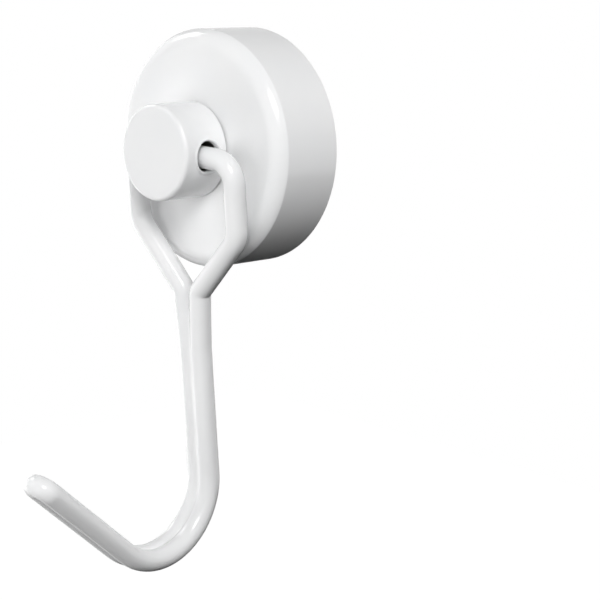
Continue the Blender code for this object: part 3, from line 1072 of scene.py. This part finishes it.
@dataclass
class WireHook:
    """Wire bent double and welded: bail, crotch, shank, hook bend, arm and round tip."""

    boss: HookBoss
    wire_drop: float = 0.0002
    end_gap: float = 0.0010
    end_chamfer: float = 0.0003
    limb_gap: float = 0.0016
    limb_near_gap: float = 0.0003
    shoulder_reach: float = 0.0012
    rest_gap: float = 0.0002
    limb_length: float = 0.0103
    bail_past_cup: float = 0.0028
    elbow_inside_radius: float = 0.0019
    crotch_inside_radius: float = 0.0002
    crotch_lead: float = 0.0004
    closing_run: float = 0.0060
    weld_sink: float = 0.0008
    tip_sink: float = 0.0002
    shank_run: float = 0.0262
    upper_inside_radius: float = 0.0082
    upper_degrees: float = 60.0
    lower_inside_radius: float = 0.0073
    lower_degrees: float = 77.2
    arm_length: float = 0.0172
    shank_fillet: float = 0.0013
    arm_fillet: float = 0.00006
    bend_share: float = 0.45
    step_length: float = 0.0004
    bend_steps: int = 16
    tip_steps: int = 18
    sides: int = 68
    round_share: float = 0.88
    ripple_size: float = 0.0045
    ripple_depth: float = 0.00003

    @property
    def radius(self) -> float:
        """Radius of the wire."""
        return self.boss.wire_radius

    @property
    def hinge(self) -> Vector:
        """Origin of the hook's own frame, on its swing axis and slid to +X with the wire."""
        return Vector((self.limb_gap - self.limb_near_gap, self.boss.hole_y, -self.wire_drop))

    @property
    def weld_x(self) -> float:
        """Half the distance between the welded strands."""
        return self.radius - self.weld_sink / 2

    @property
    def tip_x(self) -> float:
        """The same at the tip, where the weld has run out."""
        return self.radius - self.tip_sink / 2

    @property
    def bail_depth(self) -> float:
        """From the hinge down to the corner where the strands meet."""
        return self.boss.cup.radius + self.bail_past_cup

    def lean(self) -> float:
        """Work out how far the hanging hook leans back onto the cup's shoulder.

        Returns:
            The angle about X.
        """
        cup = self.boss.cup
        behind = cup.shoulder_radius - (self.boss.hole_y - cup.front_y)
        below = cup.shoulder_start - self.wire_drop
        standoff = cup.shoulder_radius + self.radius + self.rest_gap
        return math.atan2(behind, below) - math.asin(standoff / math.hypot(behind, below))

    def rounded_path(self, corners: list[Vector],
                     radii: list[float]) -> list[tuple[Vector, Vector]]:
        """Run through corners of the bail's plane with round bends.

        Args:
            corners: pairs of X and Z.
            radii: bend radius at each corner but the first and last.

        Returns:
            Point and heading of each station, no further apart than a step on the straights.
        """
        run = [(corners[0], (corners[1] - corners[0]).normalized())]
        for before, corner, after, radius in zip(corners, corners[1:], corners[2:], radii):
            heading_in = (corner - before).normalized()
            heading_out = (after - corner).normalized()
            turn = heading_in.angle_signed(heading_out)
            setback = radius * math.tan(abs(turn) / 2)
            side = Vector((heading_in.y, -heading_in.x)) * math.copysign(1.0, turn)
            centre = corner - heading_in * setback + side * radius
            for step in range(self.bend_steps + 1):
                part = turn * step / self.bend_steps
                turned = Matrix.Rotation(-part, 2)
                run.append((centre - turned @ side * radius, turned @ heading_in))
        run.append((corners[-1], (corners[-1] - corners[-2]).normalized()))
        filled = run[:1]
        for (before, _), (point, heading) in zip(run, run[1:]):
            pieces = max(1, math.ceil((point - before).length / self.step_length))
            for piece in range(1, pieces):
                filled.append((before.lerp(point, piece / pieces), heading))
            filled.append((point, heading))
        return filled

    @staticmethod
    def open_station(centre: Vector, outward: Vector, through: Vector,
                     radius: float) -> Station:
        """Section of a strand that runs by itself."""
        return Station(centre, outward, through, radius, radius, 0.0)

    def bail_stations(self) -> list[Station]:
        """Lay out the sections from the wire's end in the boss to the full depth of the weld.

        Returns:
            The stations.
        """
        closing_angle = math.atan2(self.radius - self.weld_x, self.closing_run)
        touch_x = self.radius * math.cos(closing_angle)
        crotch_radius = self.crotch_inside_radius + self.radius
        lead = self.crotch_lead + crotch_radius
        limb_x = self.boss.radius + self.limb_gap + self.radius
        crotch = Vector((touch_x + lead * math.tan(closing_angle), -self.bail_depth))
        touch = crotch + Vector((touch_x - crotch.x, -lead))
        corners = [Vector((self.end_gap / 2, 0.0)), Vector((limb_x, 0.0)),
                   Vector((limb_x, -self.limb_length)), crotch, touch]
        radii = [self.limb_near_gap + self.radius + self.shoulder_reach,
                 self.elbow_inside_radius + self.radius, crotch_radius]
        through = Vector((0.0, 1.0, 0.0))
        path = self.rounded_path(corners, radii)
        stations = []
        start = path[0][0]
        for radius, along in ((0.0, 0.0), (self.radius - self.end_chamfer, 0.0),
                              (self.radius, self.end_chamfer)):
            stations.append(self.open_station(Vector((start.x + along, 0.0, 0.0)),
                                              Vector((0.0, 0.0, 1.0)), through, radius))
        for point, heading in path[2:]:
            outward = Vector((-heading.y, 0.0, heading.x))
            stations.append(self.open_station(Vector((point.x, 0.0, point.y)), outward, through,
                                              self.radius))
        drop = (touch_x - self.weld_x) / math.tan(closing_angle)
        steps = math.ceil(drop / self.step_length)
        level = Vector((1.0, 0.0, 0.0))
        for step in range(1, steps + 1):
            share = step / steps
            x = touch_x + (self.weld_x - touch_x) * share
            stations.append(Station(Vector((x, 0.0, touch.y - drop * share)), level, through,
                                    self.radius, x, self.shank_fillet * share))
        return stations

    def welded_station(self, middle: Vector, outward: Vector, through: Vector,
                       share: float) -> Station:
        """Make one section of a strand that is welded to its twin.

        Along the way the strands part, and the coat lies thinner in the crease between them.

        Args:
            middle: the point half way between the strands.
            outward: direction from there to the centre of the strand.
            through: direction out of the plane of the strands.
            share: 0 on the shank, rising to 1 at the tip.

        Returns:
            The section.
        """
        spacing = self.weld_x + (self.tip_x - self.weld_x) * share
        thin = min(1.0, share / self.bend_share)
        fillet = self.shank_fillet + (self.arm_fillet - self.shank_fillet) * thin
        return Station(middle + outward * spacing, outward, through, self.radius, spacing,
                       fillet)

    def arm_stations(self, start_z: float) -> list[Station]:
        """Lay out the sections down the shank, round the hook bend, to the tip and round it.

        The strands part evenly along the way, from the end of the shank to the tip.

        Args:
            start_z: height at which the strands are fully welded.

        Returns:
            The stations.
        """
        across = Vector((1.0, 0.0, 0.0))
        out = Vector((0.0, 1.0, 0.0))
        place = Vector((0.0, 0.0, -self.bail_depth - self.shank_run))
        stations = []
        steps = math.ceil((start_z - place.z) / self.step_length)
        for step in range(1, steps + 1):
            z = start_z + (place.z - start_z) * step / steps
            stations.append(self.welded_station(Vector((0.0, 0.0, z)), across, out, 0.0))
        bends = ((self.upper_inside_radius + self.radius, math.radians(self.upper_degrees)),
                 (self.lower_inside_radius + self.radius, math.radians(self.lower_degrees)))
        arm_run = sum(radius * sweep for radius, sweep in bends) + self.arm_length
        turned_by = 0.0
        run = 0.0
        for radius, sweep in bends:
            centre = place - out * radius
            steps = math.ceil(radius * sweep / self.step_length)
            for step in range(1, steps + 1):
                turn = turned_by + sweep * step / steps
                out = Vector((0.0, math.cos(turn), -math.sin(turn)))
                place = centre + out * radius
                share = (run + radius * sweep * step / steps) / arm_run
                stations.append(self.welded_station(place, across, out, share))
            turned_by = turn
            run += radius * sweep
        heading = Vector((0.0, -math.sin(turned_by), -math.cos(turned_by)))
        steps = math.ceil(self.arm_length / self.step_length)
        for step in range(1, steps):
            way = self.arm_length * step / steps
            stations.append(self.welded_station(place + heading * way, across, out,
                                                (run + way) / arm_run))
        pole = place + heading * self.arm_length
        for step in range(self.tip_steps + 1):
            sweep = math.pi / 2 * step / self.tip_steps
            spoke = across * math.cos(sweep) + heading * math.sin(sweep)
            stations.append(self.welded_station(pole, spoke, out, 1.0))
        return stations

    @staticmethod
    def station_mesh(stations: list[Station]) -> bpy.types.Mesh:
        """Write the stations as loose points with their values as attributes.

        The opening is the angle from the outside of a strand to the corner where its fillet
        starts, the corner is what is left to the half turn, and the rise is the height of the
        fillet's centre over the plane of the strands.

        Args:
            stations: sections of the +X strand, in order.

        Returns:
            The mesh of points.
        """
        mesh = bpy.data.meshes.new("strand_stations")
        mesh.from_pydata([station.centre for station in stations], [], [])
        numbers = {name: [] for name in
                   ("radius", "opening", "corner", "spacing", "rise", "fillet")}
        for station in stations:
            reach = station.radius + station.fillet
            rise = math.sqrt(max(0.0, reach ** 2 - station.spacing ** 2))
            opening = math.pi - math.atan2(rise, station.spacing)
            numbers["radius"].append(station.radius)
            numbers["opening"].append(opening)
            numbers["corner"].append(math.pi - opening)
            numbers["spacing"].append(station.spacing)
            numbers["rise"].append(rise)
            numbers["fillet"].append(station.fillet)
        for name, values in numbers.items():
            mesh.attributes.new(name, "FLOAT", "POINT").data.foreach_set("value", values)
        for name in ("outward", "through"):
            flat = [part for station in stations for part in getattr(station, name)]
            mesh.attributes.new(name, "FLOAT_VECTOR", "POINT").data.foreach_set("vector", flat)
        return mesh

    def build(self, coat: bpy.types.Material) -> None:
        """Make the hook at rest in its coat.

        Args:
            coat: the finish.
        """
        stations = self.bail_stations()
        stations += self.arm_stations(stations[-1].centre.z)
        hook = grow("coated_wire_hook", self.station_mesh(stations), strand_tree(), {
            "Sides": self.sides, "Round share": self.round_share,
            "Ripple size": self.ripple_size, "Ripple depth": self.ripple_depth,
            "Material": coat})
        hook.data.transform(Matrix.Translation(self.hinge) @ Matrix.Rotation(self.lean(), 4, "X"))
        hand_over(hook, Body.HOOK, Slot.WHITE_COAT, "wire_hook")


@dataclass
class MagnetStack:
    """What lies in the cup: washer, glue, ferrite ring and centring ring."""

    cup: MagnetCup
    boss: HookBoss
    seat_gap: float = 0.0003
    washer_radius: float = 0.0030
    washer_thickness: float = 0.0008
    bore_clearance: float = 0.0004
    glue_thickness: float = 0.0004
    magnet_chamfer: float = 0.0003
    spacer_wall: float = 0.0011
    spacer_height: float = 0.0048
    spacer_recess: float = 0.0004
    spacer_chamfer: float = 0.0003
    washer_edge: float = 0.0001
    washer_edge_steps: int = 4
    sides: int = 192

    def build_washer(self) -> None:
        """Make the zinc plated washer with its edges eased by tumbling."""
        low = self.cup.floor_y + self.seat_gap
        top = low + self.washer_thickness
        hole = self.cup.tenon_hole_radius
        edge = self.washer_edge
        outer, inner = self.washer_radius - edge, hole + edge
        corners = ((outer, low + edge, -90.0), (outer, top - edge, 0.0),
                   (inner, top - edge, 90.0), (inner, low + edge, 180.0))
        profile = [point for radius, along, start in corners
                   for point in arc((radius, along), edge, start, start + 90.0,
                                    self.washer_edge_steps)]
        washer = turn_piece("plated_washer", profile + profile[:1], self.sides,
                            ZincPlate().material("zinc_plated_washer_steel"))
        hand_over(washer, Body.BASE, Slot.ZINC_STEEL, "boss_washer")

    def build_magnet(self) -> None:
        """Make the ring magnet, flush with the rim, its edges broken."""
        outer = self.cup.bore_radius - self.seat_gap - self.spacer_wall - self.seat_gap
        bore = self.washer_radius + self.bore_clearance
        top = self.cup.floor_y + self.seat_gap + self.glue_thickness + self.seat_gap
        edge = self.magnet_chamfer
        profile = [(outer - edge, 0.0), (outer, -edge), (outer, top + edge), (outer - edge, top),
                   (bore, top), (bore, -edge), (bore + edge, 0.0)]
        magnet = turn_piece("ferrite_ring", profile + profile[:1], self.sides,
                            GroundFerrite().material("ground_ferrite"))
        hand_over(magnet, Body.BASE, Slot.FERRITE, "ring_magnet")

    def build_spacer(self) -> None:
        """Make the centring ring of natural polypropylene."""
        outer = self.cup.bore_radius - self.seat_gap
        inner = outer - self.spacer_wall
        mouth = -self.spacer_recess
        back = mouth - self.spacer_height
        edge = self.spacer_chamfer
        profile = [(outer - edge, mouth), (outer, mouth - edge), (outer, back), (inner, back),
                   (inner, mouth - edge), (inner + edge, mouth)]
        spacer = turn_piece("centring_ring", profile + profile[:1], self.sides,
                            NATURAL_POLYPROPYLENE.material("natural_polypropylene"))
        hand_over(spacer, Body.BASE, Slot.SPACER, "spacer_ring")

    def dress_glue(self) -> None:
        """Give the hidden glue its resin."""
        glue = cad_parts["glue_bed"]
        glue.data.materials.clear()
        glue.data.materials.append(CURED_EPOXY.material("cured_epoxy"))
        LOG.info("glue_bed keeps its CAD solid")


# Studio.


@dataclass(frozen=True)
class Lamp:
    """One round soft lamp that looks at the hook. Gloss doesn't show one that doesn't shine."""

    name: str
    azimuth: float
    elevation: float
    level: float
    spread: float = 30.0
    shines: bool = True


@dataclass
class Studio:
    """Camera, soft lamps, pale floor and white surroundings."""

    # The camera's place, turn and lens, fitted to the outlines in the photograph.
    azimuth: float = 43.66615
    elevation: float = 12.09900
    roll: float = 2.46849
    shift_right: float = -0.00648923
    shift_up: float = 0.02149806
    distance: float = 0.25801113
    focal_pixels: float = 1869.95309
    image_pixels: float = 600.0
    sensor: float = 36.0
    clip_near: float = 0.01
    clip_far: float = 20.0
    aim: Vector = field(default_factory=lambda: Vector((0.0, -0.012, -0.015)))
    lamp_distance: float = 0.5
    lamps: tuple[Lamp, ...] = (
        Lamp("key", 45.0, 38.0, 0.46, 11.0),
        Lamp("front", 0.0, 0.0, 0.31, 18.0, shines=False),
        Lamp("front_right", 30.0, 20.0, 0.18, 15.0, shines=False),
        Lamp("side_right", 85.0, 30.0, 0.29, 15.0, shines=False),
        Lamp("low_front_left", -30.0, -25.0, 0.21, 18.0, shines=False),
        Lamp("low_left", -60.0, -30.0, 0.13),
        Lamp("low_side_left", -90.0, -30.0, 0.21),
        Lamp("side_left", -90.0, 0.0, 0.27),
        Lamp("high_side_left", -82.0, 35.0, 0.16, 9.0),
        Lamp("back_high", 120.0, 60.0, 0.12, shines=False),
        Lamp("back_right", 145.0, 25.0, 0.16, 15.0, shines=False),
        Lamp("back_left", -130.0, -5.0, 0.40, shines=False),
    )
    # The floor's own glow to the eye is near_glow as far as near_reach from the origin, and
    # full from far_reach on.
    floor_z: float = -0.60
    floor_half: float = 1.5
    floor_colour: str = "F4F4F4"
    floor_bounce_colour: str = "3A3A3A"
    near_glow: float = 0.8
    near_reach: float = 0.6
    far_reach: float = 0.9
    # How bright the floor and the surroundings are in gloss. The floor fades from its front
    # value to its back value within floor_fade of the origin.
    front_floor_gloss: float = 1.0
    back_floor_gloss: float = 0.0
    floor_fade: float = 0.20
    horizon_gloss: float = 0.9
    zenith_gloss: float = 0.2

    @staticmethod
    def towards(azimuth: float, elevation: float) -> Vector:
        """Work out a direction from the hook.

        Args:
            azimuth: degrees from the front, -Y, round to +X.
            elevation: degrees above the horizon.

        Returns:
            The direction, of length 1.
        """
        turn, rise = math.radians(azimuth), math.radians(elevation)
        return Vector((math.sin(turn) * math.cos(rise), -math.cos(turn) * math.cos(rise),
                       math.sin(rise)))

    def build_camera(self) -> None:
        """Make the camera at the photograph's place and angle."""
        forward = -self.towards(self.azimuth, self.elevation)
        right = forward.cross(Vector((0.0, 0.0, 1.0))).normalized()
        up = right.cross(forward)
        tilt = math.radians(self.roll)
        across = right * math.cos(tilt) + up * math.sin(tilt)
        upright = up * math.cos(tilt) - right * math.sin(tilt)
        place = (-across * self.shift_right - upright * self.shift_up
                 - forward * self.distance)
        data = bpy.data.cameras.new("camera")
        data.sensor_width = self.sensor
        data.lens = self.sensor * self.focal_pixels / self.image_pixels
        data.clip_start = self.clip_near
        data.clip_end = self.clip_far
        camera = bpy.data.objects.new("camera", data)
        turned = Matrix((across, upright, -forward)).transposed()
        camera.matrix_world = Matrix.Translation(place) @ turned.to_4x4()
        bpy.context.scene.collection.objects.link(camera)
        bpy.context.scene.camera = camera

    def build_lamps(self) -> None:
        """Make the lamps. A level of 1 lights a white card that faces the lamp to white."""
        for lamp in self.lamps:
            data = bpy.data.lights.new(lamp.name, "AREA")
            data.shape = "DISK"
            data.size = 2 * self.lamp_distance * math.tan(math.radians(lamp.spread))
            data.energy = lamp.level * math.pi ** 2 * self.lamp_distance ** 2
            item = bpy.data.objects.new(lamp.name, data)
            direction = self.towards(lamp.azimuth, lamp.elevation)
            item.location = self.aim + direction * self.lamp_distance
            item.rotation_euler = direction.to_track_quat("Z", "Y").to_euler()
            item.visible_camera = False
            item.visible_glossy = lamp.shines
            bpy.context.scene.collection.objects.link(item)

    def build_world(self) -> None:
        """Make the surroundings.

        The eye sees white all round. Gloss sees white walls and a darker ceiling.
        As a light the surroundings are dark, so the lamps alone shade the hook.
        """
        world = bpy.data.worlds.new("white_surroundings")
        world.use_nodes = True
        tree = world.node_tree
        tree.nodes.clear()
        path = add_node(tree, "ShaderNodeLightPath")
        seen = add_node(tree, "ShaderNodeMath", {
            0: path.outputs["Is Camera Ray"], 1: path.outputs["Is Transmission Ray"]},
            operation="MAXIMUM")
        direction = add_node(tree, "ShaderNodeTexCoord").outputs["Generated"]
        height = add_node(tree, "ShaderNodeSeparateXYZ", {0: direction})
        sky = add_node(tree, "ShaderNodeMapRange", {
            "Value": height.outputs[2], "From Min": 0.0, "From Max": 1.0,
            "To Min": self.horizon_gloss, "To Max": self.zenith_gloss})
        gloss = add_node(tree, "ShaderNodeMath", {
            0: path.outputs["Is Glossy Ray"], 1: sky.outputs[0]}, operation="MULTIPLY")
        strength = add_node(tree, "ShaderNodeMath", {
            0: seen.outputs[0], 1: gloss.outputs[0]}, operation="ADD")
        white = add_node(tree, "ShaderNodeBackground", {
            "Color": linear(WHITE), "Strength": strength.outputs[0]})
        add_node(tree, "ShaderNodeOutputWorld", {"Surface": white.outputs[0]})
        bpy.context.scene.world = world

    def build_floor(self) -> None:
        """Make the pale floor.

        The eye sees paper that glows, fully white from far_reach on. Nearer the hook the lamps
        give the last part of its white, so the shadow stays. The floor throws little light
        back and is dark to gloss behind the hook, so the underside of the cup stays dark.
        """
        mesh = bpy.data.meshes.new("floor")
        half, low = self.floor_half, self.floor_z
        mesh.from_pydata([(-half, -half, low), (half, -half, low), (half, half, low),
                          (-half, half, low)], [], [(0, 1, 2, 3)])
        floor = add_object("floor", mesh)
        material, tree = new_material("matt_floor_paper")
        path = add_node(tree, "ShaderNodeLightPath")
        seen = add_node(tree, "ShaderNodeMath", {
            0: path.outputs["Is Camera Ray"], 1: path.outputs["Is Transmission Ray"]},
            operation="MAXIMUM")
        place = add_node(tree, "ShaderNodeTexCoord").outputs["Object"]
        reach = add_node(tree, "ShaderNodeVectorMath", {0: place}, operation="LENGTH")
        far = add_node(tree, "ShaderNodeMapRange", {
            "Value": reach.outputs["Value"], "From Min": self.near_reach,
            "From Max": self.far_reach, "To Min": self.near_glow, "To Max": 1.0})
        to_eye = add_node(tree, "ShaderNodeMath", {
            0: seen.outputs[0], 1: far.outputs[0]}, operation="MULTIPLY")
        depth = add_node(tree, "ShaderNodeSeparateXYZ", {0: place})
        front = add_node(tree, "ShaderNodeMapRange", {
            "Value": depth.outputs[1], "From Min": -self.floor_fade, "From Max": self.floor_fade,
            "To Min": self.front_floor_gloss, "To Max": self.back_floor_gloss})
        to_gloss = add_node(tree, "ShaderNodeMath", {
            0: path.outputs["Is Glossy Ray"], 1: front.outputs[0]}, operation="MULTIPLY")
        strength = add_node(tree, "ShaderNodeMath", {
            0: to_eye.outputs[0], 1: to_gloss.outputs[0]}, operation="ADD")
        colour = add_node(tree, "ShaderNodeMix", {
            MIX_FACTOR: seen.outputs[0], MIX_COLOUR_A: linear(self.floor_bounce_colour),
            MIX_COLOUR_B: linear(self.floor_colour)}, data_type="RGBA")
        paper = add_node(tree, "ShaderNodeBsdfDiffuse", {
            "Color": colour.outputs[MIX_COLOUR_OUT]})
        glow = add_node(tree, "ShaderNodeEmission", {
            "Color": linear(WHITE), "Strength": strength.outputs[0]})
        both = add_node(tree, "ShaderNodeAddShader", {0: paper.outputs[0], 1: glow.outputs[0]})
        add_node(tree, "ShaderNodeOutputMaterial", {"Surface": both.outputs[0]})
        mesh.materials.append(material)

    def build(self) -> None:
        """Make the whole studio."""
        self.build_camera()
        self.build_lamps()
        self.build_world()
        self.build_floor()
        bpy.context.scene.view_settings.view_transform = "Standard"
        LOG.info("studio: camera, %d lamps, floor and surroundings", len(self.lamps))


def main() -> None:
    """Build the dressed hook and its studio."""
    logging.basicConfig(level=logging.INFO, format="%(name)s: %(message)s")
    Studio().build()
    finish = PowderCoat()
    coat = finish.material("white_powder_coat")
    cup = MagnetCup()
    boss = HookBoss(cup)
    cup.build(coat)
    boss.build(finish)
    WireHook(boss).build(coat)
    stack = MagnetStack(cup, boss)
    stack.build_washer()
    stack.build_magnet()
    stack.build_spacer()
    stack.dress_glue()


if __name__ == "__main__":
    main()
